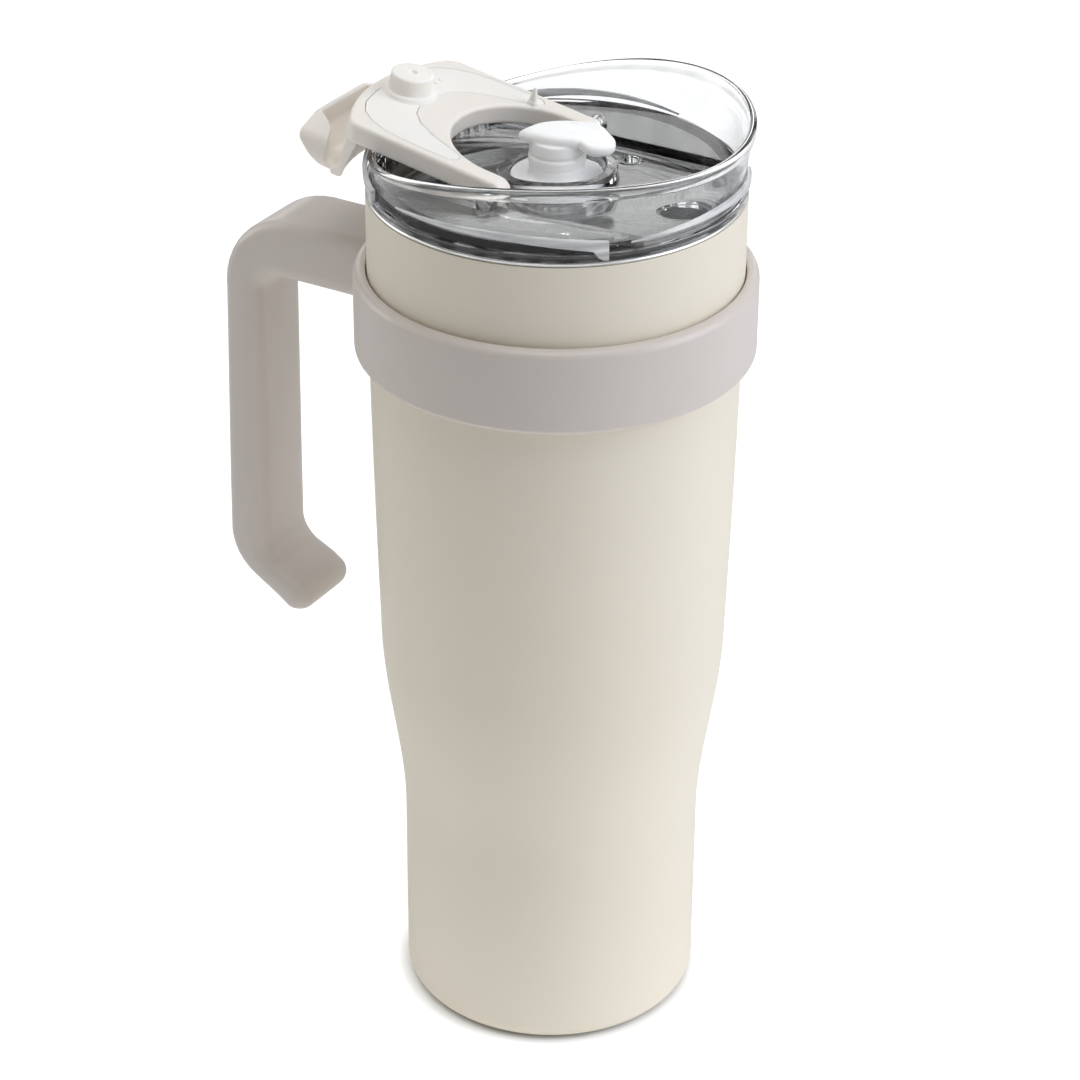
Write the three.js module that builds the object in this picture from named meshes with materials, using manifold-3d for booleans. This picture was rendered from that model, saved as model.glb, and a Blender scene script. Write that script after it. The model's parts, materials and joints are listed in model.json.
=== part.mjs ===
// Insulated tumbler with a side handle and a clear lid that has a flip-over flap.
// Units are millimetres and +Z is up. The origin is the centre of the flat base, on the cup's axis.
// The handle points along -X and the drinking spout along +X. The flap is modelled lying open.

import * as THREE from 'three';
import { mergeVertices } from 'three/addons/utils/BufferGeometryUtils.js';
import Module from 'manifold-3d';

const wasm = await Module();
wasm.setup();

// Cup
const RIM_Z = 243.6;
const RIM_RADIUS = 49;
const BASE_RADIUS = 41.1;
const SHOULDER_LOW_Z = 56;
const SHOULDER_HIGH_Z = 115;
const SHOULDER_TOP_RADIUS = 47.1;
const FULL_RADIUS_Z = 221;
const WALL = 0.6;
const LINER_OFFSET = 3;
const LINER_FLOOR_Z = 12;
const FOOT_INNER_RADIUS = 35;
const LIP_HEIGHT = 0.9;
const MOUTH_RADIUS = 47.3;
const MOUTH_DEPTH = 9;
const TAPER_DEPTH = 14.5;

// Handle
const RING_LOW_Z = 198.5;
const RING_HIGH_Z = 221.3;
const RING_RADIUS = 52.7;
const ARM_LOW_Z = 201.1;
const ARM_HIGH_Z = 219;
const GRIP_WIDTH = 24;
const GRIP_EDGE = 3;
const GRIP_OUTER_X = -101;

// Lid, with heights measured from the cup's rim
const DECK_TOP = 1.8;
const DECK_BOTTOM = -0.2;
const LID_WALL_RADIUS = 48.4;
const LID_WALL_INNER = 46.9;
const SKIRT_INNER = 42.7;
const SKIRT_OUTER = 43.6;
const SKIRT_BOTTOM = -8.4;
const WAVE_START = 2.6;
const WAVE_MEAN_HEIGHT = 15.1;
const WAVE_MEAN_RADIUS = 49.6;
const COLLAR_OUTER = 15.6;
const COLLAR_INNER = 12.3;
const COLLAR_TOP = 5;
const STRAW_HOLE = 5.6;
const CHANNEL_HALF_WIDTH = 25.9;
const SHELF_TOP = 4.5;
const SPOUT_X = 36.4;
const SPOUT_HOLE = 6.1;
const VENT = new THREE.Vector2(10.5, 19.5);
const VENT_HOLE = 1.9;
const VENT_RING = 3.2;
const LUG_RADIUS = 2.6;
const LUG_WIDTH = 3.6;

// Flap, drawn closed and then turned open about its hinge
const HINGE_X = -4.5;
const HINGE_HEIGHT = 5.5;
const PIN_RADIUS = 1.25;
const PIN_CLEARANCE = 0.35;
const OPEN_ANGLE = THREE.MathUtils.degToRad(-170);
const FLAP_LOW = 2.24;
const FLAP_HIGH = 7.9;
const FLAP_HALF_WIDTH = 25.5;
const FLAP_END_RADIUS = 46.3;
const FLAP_CUT_RADIUS = 20;
const SEAL_DEPTH = 1.6;
const SEAL_HALF_WIDTH = 23.4;
const SEAL_RADIUS = 43.3;

const GAP = 0.3;
const ROUND_STEPS = 36;
const HOLE_STEPS = 16;
const CORNER_STEPS = 2;
const CURVE_STEPS = 6;

const COLOURS = {
  cream: { color: 0xe6e3d8, roughness: 0.5, metalness: 0 },
  beige: { color: 0xccc4bc, roughness: 0.4, metalness: 0 },
  flap: { color: 0xe4dbd1, roughness: 0.4, metalness: 0 },
  seal: { color: 0xe9e5dc, roughness: 0.6, metalness: 0 },
  white: { color: 0xf6f6f4, roughness: 0.5, metalness: 0 },
  black: { color: 0x151515, roughness: 0.6, metalness: 0 },
  steel: { color: 0xc2c4c6, roughness: 0.3, metalness: 1 },
  foil: { color: 0xb4764f, roughness: 0.35, metalness: 1 },
  clear: { color: 0xe8eef0, roughness: 0.05, metalness: 0, transparent: true, opacity: 0.35 },
};

const tumbler = new THREE.Group();

function addPart(name, geometry, colour, height = 0) {
  const mesh = new THREE.Mesh(geometry, new THREE.MeshStandardMaterial(COLOURS[colour]));
  mesh.name = name;
  mesh.position.z = height;
  tumbler.add(mesh);
  return mesh;
}

// A closed outline from corners [x, y] or [x, y, rounding].
function outline(corners) {
  const shape = new THREE.Shape();
  corners.forEach(([x, y, rounding = 0], i) => {
    const corner = new THREE.Vector2(x, y);
    const before = new THREE.Vector2(...corners.at(i - 1));
    const after = new THREE.Vector2(...corners[(i + 1) % corners.length]);
    const start = before.sub(corner).setLength(rounding).add(corner);
    const end = after.sub(corner).setLength(rounding).add(corner);
    if (i === 0) shape.moveTo(start.x, start.y);
    else shape.lineTo(start.x, start.y);
    if (rounding > 0) shape.quadraticCurveTo(x, y, end.x, end.y);
  });
  shape.closePath();
  return shape;
}

// A body turned about the Z axis from corners [radius, height] or [radius, height, rounding].
function turned(corners, steps = ROUND_STEPS) {
  const loop = outline(corners).getPoints(CORNER_STEPS);
  if (!loop[0].equals(loop.at(-1))) loop.push(loop[0].clone());
  return new THREE.LatheGeometry(loop, steps).rotateX(Math.PI / 2);
}

// A flat plate of an outline, lying between two heights, with its edges rounded by bevel.
function plate(shape, low, high, bevel = 0) {
  const geometry = new THREE.ExtrudeGeometry(shape, {
    depth: high - low - 2 * bevel,
    bevelEnabled: bevel > 0,
    bevelThickness: bevel,
    bevelSize: bevel,
    bevelOffset: -bevel,
    bevelSegments: CORNER_STEPS,
    curveSegments: CURVE_STEPS,
  });
  return geometry.translate(0, 0, low + bevel);
}

// A flat plate of an outline drawn in by a margin all round.
function insetPlate(shape, low, high, margin) {
  const geometry = new THREE.ExtrudeGeometry(shape, {
    depth: high - low - margin,
    bevelThickness: margin / 2,
    bevelSize: 0,
    bevelOffset: -margin,
    bevelSegments: 1,
    curveSegments: CURVE_STEPS,
  });
  return geometry.translate(0, 0, low + margin / 2);
}

function box(low, high) {
  const size = new THREE.Vector3().subVectors(high, low);
  const centre = new THREE.Vector3().addVectors(low, high).multiplyScalar(0.5);
  return new THREE.BoxGeometry(size.x, size.y, size.z).translate(centre.x, centre.y, centre.z);
}

// A plate of an outline drawn in the YZ plane, standing between two places along X.
function upStanding(shape, from, to) {
  const geometry = new THREE.ExtrudeGeometry(shape, {
    depth: to - from,
    bevelEnabled: false,
    curveSegments: CURVE_STEPS,
  });
  return geometry.rotateZ(Math.PI / 2).rotateY(Math.PI / 2).translate(from, 0, 0);
}

function upright(radius, low, high, x = 0, y = 0) {
  const geometry = new THREE.CylinderGeometry(radius, radius, high - low, HOLE_STEPS);
  return geometry.rotateX(Math.PI / 2).translate(x, y, (low + high) / 2);
}

// A cylinder along Y on the hinge axis.
function hingeCylinder(radius, from, to) {
  const geometry = new THREE.CylinderGeometry(radius, radius, to - from, HOLE_STEPS);
  return geometry.translate(HINGE_X, (from + to) / 2, HINGE_HEIGHT);
}

// Turns a geometry into a solid that can be joined and cut.
function solid(geometry) {
  const bare = geometry.clone();
  bare.deleteAttribute('normal');
  bare.deleteAttribute('uv');
  const shared = mergeVertices(bare);
  const corners = shared.index.array;
  const kept = [];
  for (let i = 0; i < corners.length; i += 3) {
    const [a, b, c] = corners.slice(i, i + 3);
    if (a !== b && b !== c && c !== a) kept.push(a, b, c);
  }
  return new wasm.Manifold(new wasm.Mesh({
    numProp: 3,
    vertProperties: new Float32Array(shared.attributes.position.array),
    triVerts: new Uint32Array(kept),
  }));
}

function geometryOf(body) {
  const mesh = body.getMesh();
  const geometry = new THREE.BufferGeometry();
  geometry.setAttribute('position', new THREE.BufferAttribute(mesh.vertProperties, 3));
  geometry.setIndex(new THREE.BufferAttribute(mesh.triVerts, 1));
  geometry.computeVertexNormals();
  return geometry;
}

const join = (first, ...others) => others.reduce((body, other) => body.add(solid(other)), first);
const cut = (first, ...others) => others.reduce((body, other) => body.subtract(solid(other)), first);

// The cup's outer radius at a height: a narrow base, a soft shoulder and a nearly straight top.
function cupRadius(z) {
  if (z <= SHOULDER_HIGH_Z) {
    const rise = THREE.MathUtils.smoothstep(z, SHOULDER_LOW_Z, SHOULDER_HIGH_Z);
    return THREE.MathUtils.lerp(BASE_RADIUS, SHOULDER_TOP_RADIUS, rise);
  }
  const climb = Math.min((z - SHOULDER_HIGH_Z) / (FULL_RADIUS_Z - SHOULDER_HIGH_Z), 1);
  return THREE.MathUtils.lerp(SHOULDER_TOP_RADIUS, RIM_RADIUS, 1 - (1 - climb) ** 1.6);
}

// Heights at which the cup's wall bends.
const WALL_HEIGHTS = [SHOULDER_LOW_Z, 70, 80, 90, 101, SHOULDER_HIGH_Z, 145, FULL_RADIUS_Z];

const wallCorners = (inset) => WALL_HEIGHTS.map((z) => [cupRadius(z) - inset, z]);

function outerShell() {
  const top = RIM_Z - LIP_HEIGHT - GAP;
  const foot = 4.5;
  return turned([
    [FOOT_INNER_RADIUS, 0],
    [BASE_RADIUS, 0, foot],
    ...wallCorners(0),
    [RIM_RADIUS, top],
    [RIM_RADIUS - WALL, top],
    ...wallCorners(WALL).reverse(),
    [BASE_RADIUS - WALL, WALL, foot - WALL],
    [FOOT_INNER_RADIUS, WALL],
  ]);
}

function innerLiner() {
  const outside = LINER_OFFSET;
  const inside = LINER_OFFSET + WALL;
  const mouthOuter = MOUTH_RADIUS + WALL;
  const corner = 6;
  return turned([
    [0, LINER_FLOOR_Z - WALL],
    [BASE_RADIUS - outside, LINER_FLOOR_Z - WALL, corner + WALL],
    ...wallCorners(outside),
    [RIM_RADIUS - outside, RIM_Z - TAPER_DEPTH],
    [mouthOuter, RIM_Z - MOUTH_DEPTH],
    [mouthOuter, RIM_Z - LIP_HEIGHT],
    [RIM_RADIUS, RIM_Z - LIP_HEIGHT, 0.2],
    [RIM_RADIUS, RIM_Z, 0.6],
    [MOUTH_RADIUS, RIM_Z, 0.6],
    [MOUTH_RADIUS, RIM_Z - MOUTH_DEPTH],
    [RIM_RADIUS - inside, RIM_Z - TAPER_DEPTH],
    ...wallCorners(inside).reverse(),
    [BASE_RADIUS - inside, LINER_FLOOR_Z, corner],
    [0, LINER_FLOOR_Z],
  ]);
}

// A thin sheet wrapped round the liner, inside the vacuum.
function foilWrap() {
  const heights = [118, 165, 215];
  const inset = LINER_OFFSET - GAP;
  const thickness = 0.3;
  return turned([
    ...heights.map((z) => [cupRadius(z) - inset + thickness, z]),
    ...heights.toReversed().map((z) => [cupRadius(z) - inset, z]),
  ]);
}

const VACUUM_BASE_Z = 6;
const PORT_RADIUS = 1.2;

// The disc that closes the vacuum, with its port in the middle and a flange at its edge.
function vacuumBase() {
  const edge = BASE_RADIUS - WALL - GAP;
  const flange = 1.4;
  return turned([
    [PORT_RADIUS, VACUUM_BASE_Z],
    [edge - WALL, VACUUM_BASE_Z],
    [edge - WALL, VACUUM_BASE_Z - flange],
    [edge, VACUUM_BASE_Z - flange],
    [edge, VACUUM_BASE_Z + WALL],
    [PORT_RADIUS, VACUUM_BASE_Z + WALL],
  ]);
}

// The pellet that was melted into the port, shaped like a mushroom.
function vacuumSeal() {
  const cap = VACUUM_BASE_Z - GAP;
  return turned([
    [0, cap - 1.5],
    [2.6, cap - 1.5, 0.8],
    [2.6, cap],
    [PORT_RADIUS - GAP, cap],
    [PORT_RADIUS - GAP, cap + 1.3],
    [0, cap + 1.3],
  ], HOLE_STEPS);
}

// The gas-absorbing capsule that lies on the vacuum disc.
function getter() {
  const low = VACUUM_BASE_Z + WALL + GAP;
  return upright(5, low, low + 2.2, 14, 0);
}

function basePlate() {
  const edge = FOOT_INNER_RADIUS - 0.4;
  const rise = 2.2;
  return turned([
    [0, 0],
    [edge, 0, 1],
    [edge, rise],
    [edge - WALL, rise],
    [edge - WALL, WALL],
    [0, WALL],
  ]);
}

// The collar round the cup and the hooked grip, one moulding.
function handle() {
  const bore = RIM_RADIUS + GAP;
  const ring = turned([
    [bore, RING_LOW_Z],
    [RING_RADIUS, RING_LOW_Z, 0.8],
    [RING_RADIUS, RING_HIGH_Z, 3],
    [bore, RING_HIGH_Z],
  ]);
  const grip = outline([
    [-44, ARM_LOW_Z],
    [-86.8, ARM_LOW_Z, 6],
    [-88.2, 114, 8],
    [-70.4, 103.2, 4.5],
    [-75.8, 94.6, 4.5],
    [GRIP_OUTER_X, 111.5, 14],
    [GRIP_OUTER_X + 2.6, ARM_HIGH_Z, 24],
    [-44, ARM_HIGH_Z],
  ]);
  const arm = plate(grip, -GRIP_WIDTH / 2, GRIP_WIDTH / 2, GRIP_EDGE).rotateX(Math.PI / 2);
  const core = turned([[0, 190], [bore + 1, 190], [bore + 1, 230], [0, 230]]);
  return geometryOf(join(cut(solid(arm), core), ring));
}

// The wave of the lid's drinking edge: how far its mean is raised by each turn of one, two and three
// swings round the cup, in height and in radius.
const WAVE_HEIGHTS = [6.27, -2.62, -0.48];
const WAVE_RADII = [1.57, -0.65];

const swings = (mean, sizes, angle) => sizes.reduce(
  (total, size, i) => total + size * Math.cos((i + 1) * angle),
  mean,
);

// Height of the lid's wavy drinking edge above the cup's rim, and its outer radius there.
const waveHeight = (angle) => swings(WAVE_MEAN_HEIGHT, WAVE_HEIGHTS, angle);
const waveRadius = (angle) => swings(WAVE_MEAN_RADIUS, WAVE_RADII, angle);

// Stretches what was drawn with a level edge until its edge follows the wave.
function waved(geometry) {
  const position = geometry.attributes.position;
  for (let i = 0; i < position.count; i += 1) {
    const point = new THREE.Vector3().fromBufferAttribute(position, i);
    const climb = (point.z - WAVE_START) / (WAVE_MEAN_HEIGHT - WAVE_START);
    if (climb > 0) {
      const angle = Math.atan2(point.y, point.x);
      const radius = Math.hypot(point.x, point.y);
      const flare = (waveRadius(angle) - WAVE_MEAN_RADIUS) * THREE.MathUtils.smoothstep(climb, 0, 1);
      const grown = (radius + flare) / radius;
      const z = WAVE_START + climb * (waveHeight(angle) - WAVE_START);
      position.setXYZ(i, point.x * grown, point.y * grown, z);
    }
  }
  return geometry;
}

// Where each rib round the foot of the lid's wall starts, in degrees, and how high its top is there.
const RIBS = [[-115, 5.6], [-38, 4.6], [78, 5], [160, 5]];

// One of those ribs: humped, thin at its start and deep at its blunt end.
function lidRib([start, foot]) {
  const span = THREE.MathUtils.degToRad(70);
  const rise = 1.8;
  const inner = LID_WALL_RADIUS - 0.8;
  const outer = LID_WALL_RADIUS + 1;
  const shape = new THREE.Shape();
  shape.absarc(0, 0, outer, 0, span, false);
  shape.absarc(0, 0, inner, span, 0, true);
  const rib = new THREE.ExtrudeGeometry(shape, { depth: 1, bevelEnabled: false, curveSegments: 10 });
  const position = rib.attributes.position;
  for (let i = 0; i < position.count; i += 1) {
    const along = Math.atan2(position.getY(i), position.getX(i)) / span;
    const high = foot + rise * Math.sin(Math.PI * along);
    const low = high - THREE.MathUtils.lerp(0.5, 2.9, along);
    position.setZ(i, THREE.MathUtils.lerp(low, high, position.getZ(i)));
  }
  return rib.rotateZ(THREE.MathUtils.degToRad(start));
}

function lidBody() {
  const body = waved(turned([
    [SKIRT_INNER, SKIRT_BOTTOM],
    [45.4, SKIRT_BOTTOM],
    [45.4, SKIRT_BOTTOM + 1.2],
    [SKIRT_OUTER, SKIRT_BOTTOM + 1.2],
    [SKIRT_OUTER, 0.5],
    [MOUTH_RADIUS, GAP],
    [RIM_RADIUS, GAP],
    [RIM_RADIUS, 2.2, 0.4],
    [LID_WALL_RADIUS, WAVE_START],
    [LID_WALL_RADIUS - 0.2, 8, 1],
    [WAVE_MEAN_RADIUS, WAVE_MEAN_HEIGHT, 1.1],
    [WAVE_MEAN_RADIUS - 2.3, WAVE_MEAN_HEIGHT, 1.1],
    [LID_WALL_INNER, 9, 1],
    [LID_WALL_INNER, DECK_TOP],
    [COLLAR_OUTER, DECK_TOP],
    [COLLAR_OUTER, COLLAR_TOP, 0.8],
    [COLLAR_INNER, COLLAR_TOP, 0.8],
    [COLLAR_INNER, DECK_TOP],
    [STRAW_HOLE, DECK_TOP],
    [STRAW_HOLE, DECK_BOTTOM],
    [SKIRT_INNER, DECK_BOTTOM],
  ]));
  const lowShelf = DECK_TOP - 0.5;
  const shelfRadius = LID_WALL_INNER + GAP;
  const channel = box(
    new THREE.Vector3(-60, -CHANNEL_HALF_WIDTH, 0),
    new THREE.Vector3(60, CHANNEL_HALF_WIDTH, 10),
  );
  const shelves = cut(
    solid(turned([[0, lowShelf], [shelfRadius, lowShelf], [shelfRadius, SHELF_TOP], [0, SHELF_TOP]])),
    channel,
  );
  const hollowTop = SHELF_TOP - 2;
  const rib = CHANNEL_HALF_WIDTH + 2;
  const underShelf = cut(
    solid(turned([[0, -1], [SKIRT_INNER, -1], [SKIRT_INNER, hollowTop], [0, hollowTop]])),
    box(new THREE.Vector3(-60, -rib, -2), new THREE.Vector3(60, rib, 10)),
  );
  let lid = solid(body).add(shelves).subtract(underShelf);
  for (const side of [-1, 1]) {
    const near = side * CHANNEL_HALF_WIDTH;
    const far = side * (CHANNEL_HALF_WIDTH + LUG_WIDTH);
    const from = Math.min(near, far);
    const to = Math.max(near, far);
    const post = box(
      new THREE.Vector3(HINGE_X - LUG_RADIUS, from, SHELF_TOP - 1),
      new THREE.Vector3(HINGE_X + LUG_RADIUS, to, HINGE_HEIGHT),
    );
    lid = join(lid, hingeCylinder(LUG_RADIUS, from, to), post);
    lid = cut(lid, hingeCylinder(PIN_RADIUS + PIN_CLEARANCE, from - 1, to + 1));
  }
  lid = join(lid, ...RIBS.map(lidRib));
  lid = cut(
    lid,
    upright(SPOUT_HOLE, -2, 3, SPOUT_X, 0),
    upright(SPOUT_HOLE + 0.9, 0.9, 3, SPOUT_X, 0),
    upright(VENT_HOLE, -2, 3, VENT.x, VENT.y),
    upright(VENT_RING, 1.2, 3, VENT.x, VENT.y),
  );
  return geometryOf(lid);
}

// The black ring under the lid's flange, with two soft fins that press on the cup's mouth.
function lidGasket() {
  const inner = SKIRT_OUTER + GAP;
  const fin = MOUTH_RADIUS - GAP;
  const low = SKIRT_BOTTOM + 1.2 + GAP;
  return turned([
    [inner, low],
    [45.2, low],
    [45.2, -4.8],
    [fin, -4.2],
    [fin, -3.6],
    [45.4, -3.2],
    [45.4, -1.6],
    [fin, -1],
    [fin, 0],
    [inner, 0.2],
  ]);
}

// The flap's plate with the open-ended cut that straddles the straw collar.
function flapOutline() {
  const corner = Math.asin(23.5 / FLAP_END_RADIUS);
  const sideEnd = 38;
  const shape = new THREE.Shape();
  shape.moveTo(HINGE_X, -FLAP_HALF_WIDTH);
  shape.lineTo(sideEnd, -FLAP_HALF_WIDTH);
  shape.absarc(0, 0, FLAP_END_RADIUS, -corner, corner, false);
  shape.lineTo(sideEnd, FLAP_HALF_WIDTH);
  shape.lineTo(HINGE_X, FLAP_HALF_WIDTH);
  shape.lineTo(HINGE_X, FLAP_CUT_RADIUS);
  shape.absarc(0, 0, FLAP_CUT_RADIUS, Math.PI / 2, -Math.PI / 2, true);
  shape.lineTo(HINGE_X, -FLAP_CUT_RADIUS);
  return shape;
}

// The V of the seal: a wide crown round the spout boss and an arm along each side of the cut.
function sealOutline() {
  const crown = Math.PI / 9;
  const shape = new THREE.Shape();
  shape.moveTo(9.5, -SEAL_HALF_WIDTH);
  shape.lineTo(28, -SEAL_HALF_WIDTH);
  shape.quadraticCurveTo(36, -22.5, SEAL_RADIUS * Math.cos(crown), -SEAL_RADIUS * Math.sin(crown));
  shape.absarc(0, 0, SEAL_RADIUS, -crown, crown, false);
  shape.quadraticCurveTo(36, 22.5, 28, SEAL_HALF_WIDTH);
  shape.lineTo(9.5, SEAL_HALF_WIDTH);
  shape.quadraticCurveTo(6.5, 20.8, 10.5, 18.1);
  shape.quadraticCurveTo(19, 16.5, 27, 11);
  shape.quadraticCurveTo(29.8, 8.5, 29.6, 0);
  shape.quadraticCurveTo(29.8, -8.5, 27, -11);
  shape.quadraticCurveTo(19, -16.5, 10.5, -18.1);
  shape.quadraticCurveTo(6.5, -20.8, 9.5, -SEAL_HALF_WIDTH);
  return shape;
}

// The thumb hook at the flap's end: a leg inside the lid's wall, a crest over it and a lip outside.
function thumbHook() {
  const crestInner = 46.8;
  const leg = turned([
    [43.6, 3.2],
    [46.1, 3.2],
    [46.2, 8],
    [47.4, 19.5],
    [49.5, 21.5],
    [49.5, 23.5],
    [46.6, 23.6, 2],
    [45.2, 17, 2],
    [43.8, 9, 2],
  ]);
  const lip = outline([
    [42, 20.6],
    [50.4, 20.6, 1],
    [55.1, 16, 1.5],
    [55.6, 11.2, 0.5],
    [57.1, 11.2, 0.5],
    [56.8, 16.8, 2.5],
    [50.2, 23.5, 1.5],
    [42, 23.5],
  ]);
  const crest = [[18.8, 24.5, 6], [-18.8, 24.5, 6]];
  const legFront = outline([[-24, 0], [24, 0], [24, 9, 2], ...crest, [-24, 9, 2]]);
  const lipFront = outline([[-10, 11], [10, 11], [18.8, 15, 2], ...crest, [-18.8, 15, 2]]);
  const outside = turned([[crestInner, 0], [62, 0], [62, 30], [crestInner, 30]]);
  const across = plate(lip, -20, 20).rotateX(Math.PI / 2);
  const bent = solid(across).intersect(solid(outside)).intersect(solid(upStanding(lipFront, 30, 62)));
  const standing = solid(leg).intersect(solid(upStanding(legFront, 30, 62)));
  return geometryOf(standing.add(bent));
}

function flap() {
  const barrel = HINGE_HEIGHT - FLAP_LOW;
  const pinHole = PIN_RADIUS + PIN_CLEARANCE;
  let body = solid(plate(flapOutline(), FLAP_LOW, FLAP_HIGH, 1));
  body = join(body, thumbHook());
  for (const side of [-1, 1]) {
    const from = Math.min(side * FLAP_CUT_RADIUS, side * FLAP_HALF_WIDTH);
    const to = Math.max(side * FLAP_CUT_RADIUS, side * FLAP_HALF_WIDTH);
    body = join(body, hingeCylinder(barrel, from, to));
    body = cut(body, hingeCylinder(pinHole, from - 1, to + 1));
  }
  const pocket = plate(sealOutline(), FLAP_LOW - 1, FLAP_LOW + SEAL_DEPTH);
  return geometryOf(cut(body, pocket));
}

// The soft seal under the flap, with the boss that plugs the spout and the cone that plugs the vent.
function spoutSeal() {
  const inset = insetPlate(sealOutline(), FLAP_LOW, FLAP_LOW + SEAL_DEPTH - GAP, GAP);
  const tip = -3.8;
  const boss = turned([
    [0, tip + 0.6],
    [1.1, tip + 0.6],
    [1.2, tip],
    [5.5, tip, 0.6],
    [5.7, 1.3],
    [6.5, 1.4],
    [6.5, FLAP_LOW - GAP],
    [5.7, FLAP_LOW - GAP],
    [5.7, FLAP_LOW + 0.5],
    [0, FLAP_LOW + 0.5],
  ], HOLE_STEPS).translate(SPOUT_X, 0, 0);
  const cone = turned([
    [0, -2.2],
    [0.4, -2.2],
    [0.7, -0.6],
    [1.2, 1.5],
    [1.8, 1.6],
    [1.8, FLAP_LOW - GAP],
    [0.9, FLAP_LOW - GAP],
    [0.9, FLAP_LOW + 0.5],
    [0, FLAP_LOW + 0.5],
  ], 12).translate(VENT.x, VENT.y, 0);
  return geometryOf(join(solid(inset), boss, cone));
}

function hingePin(side) {
  const from = FLAP_CUT_RADIUS + 1.5;
  const to = CHANNEL_HALF_WIDTH + LUG_WIDTH - 0.4;
  return hingeCylinder(PIN_RADIUS, Math.min(side * from, side * to), Math.max(side * from, side * to));
}

// The soft plug in the straw hole, with its oval cap and pull tab.
function strawPlug() {
  const floor = DECK_TOP + GAP;
  const stem = turned([
    [0, -6],
    [4.6, -6, 0.8],
    [5.2, -1],
    [5.2, floor],
    [COLLAR_INNER - GAP, floor],
    [COLLAR_INNER - GAP, 3.3, 0.4],
    [7.3, 3.5],
    [7.3, 5.6],
    [6.8, 6],
    [7.3, 6.6],
    [7.3, 8.4],
    [6.8, 8.9],
    [7, 12.2],
    [0, 12.2],
  ], 24);
  const cap = new THREE.Shape();
  cap.moveTo(-9.2, 0);
  cap.bezierCurveTo(-5, 6, 1, 7.2, 5.5, 5.5);
  cap.bezierCurveTo(11, 5.8, 14.6, 2, 14.6, -3);
  cap.bezierCurveTo(14.6, -8.4, 9, -9, 5.5, -6);
  cap.bezierCurveTo(1, -7.2, -5, -6, -9.2, 0);
  const leafAngle = THREE.MathUtils.degToRad(30);
  const leaf = plate(cap, 11.8, 15.3, 1.2).rotateZ(leafAngle);
  return geometryOf(join(solid(stem), leaf));
}

// Turns a closed flap piece open about the hinge.
function opened(mesh) {
  mesh.rotation.y = OPEN_ANGLE;
  const offset = new THREE.Vector3(HINGE_X, 0, HINGE_HEIGHT);
  const swung = offset.clone().applyEuler(mesh.rotation);
  mesh.position.set(offset.x - swung.x, 0, RIM_Z + offset.z - swung.z);
}

addPart('outer_shell', outerShell(), 'cream');
addPart('inner_liner', innerLiner(), 'steel');
addPart('foil_wrap', foilWrap(), 'foil');
addPart('vacuum_base', vacuumBase(), 'steel');
addPart('vacuum_seal', vacuumSeal(), 'seal');
addPart('getter', getter(), 'steel');
addPart('base_plate', basePlate(), 'steel');
addPart('handle', handle(), 'beige');
addPart('lid_body', lidBody(), 'clear', RIM_Z);
addPart('lid_gasket', lidGasket(), 'black', RIM_Z);
addPart('hinge_pin_left', hingePin(1), 'steel', RIM_Z);
addPart('hinge_pin_right', hingePin(-1), 'steel', RIM_Z);
addPart('straw_plug', strawPlug(), 'white', RIM_Z);
opened(addPart('flap', flap(), 'flap'));
opened(addPart('spout_seal', spoutSeal(), 'seal'));

export default tumbler;
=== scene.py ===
"""The looks of an insulated tumbler with a side handle and a clear lid with a flap, round its CAD frame.

Shapes are drawn in millimetres and scaled to metres as each piece is placed. Lid heights are measured
from the cup's rim. The handle points along -X and the spout along +X.
"""

import json
import math

import bmesh
import bpy
import numpy as np
from mathutils import Matrix, Vector


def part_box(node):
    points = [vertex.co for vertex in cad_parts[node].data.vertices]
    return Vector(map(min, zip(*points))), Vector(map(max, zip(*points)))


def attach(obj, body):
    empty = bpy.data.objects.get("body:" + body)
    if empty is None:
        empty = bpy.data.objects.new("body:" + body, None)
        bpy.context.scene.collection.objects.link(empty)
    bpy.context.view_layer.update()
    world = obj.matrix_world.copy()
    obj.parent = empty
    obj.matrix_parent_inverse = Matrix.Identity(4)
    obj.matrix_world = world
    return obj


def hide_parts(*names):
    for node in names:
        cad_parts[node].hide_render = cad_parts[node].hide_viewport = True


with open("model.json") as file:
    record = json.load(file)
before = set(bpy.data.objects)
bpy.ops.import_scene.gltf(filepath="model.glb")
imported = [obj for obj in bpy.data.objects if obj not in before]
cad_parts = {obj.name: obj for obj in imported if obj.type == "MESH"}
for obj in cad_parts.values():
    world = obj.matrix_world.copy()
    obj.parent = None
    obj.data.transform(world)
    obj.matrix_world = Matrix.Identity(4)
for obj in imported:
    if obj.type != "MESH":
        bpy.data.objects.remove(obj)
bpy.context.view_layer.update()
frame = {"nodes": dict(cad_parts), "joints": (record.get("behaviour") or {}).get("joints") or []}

MM = 0.001


def node_box(name):
    """A CAD node's lowest and highest corners, in millimetres."""
    low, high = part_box(name)
    return low / MM, high / MM


def joint(name):
    return next(j for j in frame["joints"] if j["name"] == name)


# Sizes that follow the frame.
RIM_Z = node_box("inner_liner")[1].z
RIM_RADIUS = node_box("outer_shell")[1].x
BASE_RADIUS = RIM_RADIUS - 7.9
GRIP_LOW, GRIP_HIGH = node_box("handle")
RING_RADIUS = GRIP_HIGH.x
RING_HIGH_Z = GRIP_HIGH.z
HINGE = Vector(joint("flap_hinge")["pos_m"]) / MM
HINGE_X = HINGE.x
HINGE_HEIGHT = HINGE.z - RIM_Z
OPEN_TURN = -math.radians(joint("flap_hinge")["range_deg"][1])

# How shapes are drawn: steps round the cup, half a corner's angle that needs no arc, and a crease's angle.
ROUND = 160
NEARLY_STRAIGHT = 1.55
SHARP_ANGLE = math.radians(34)

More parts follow.
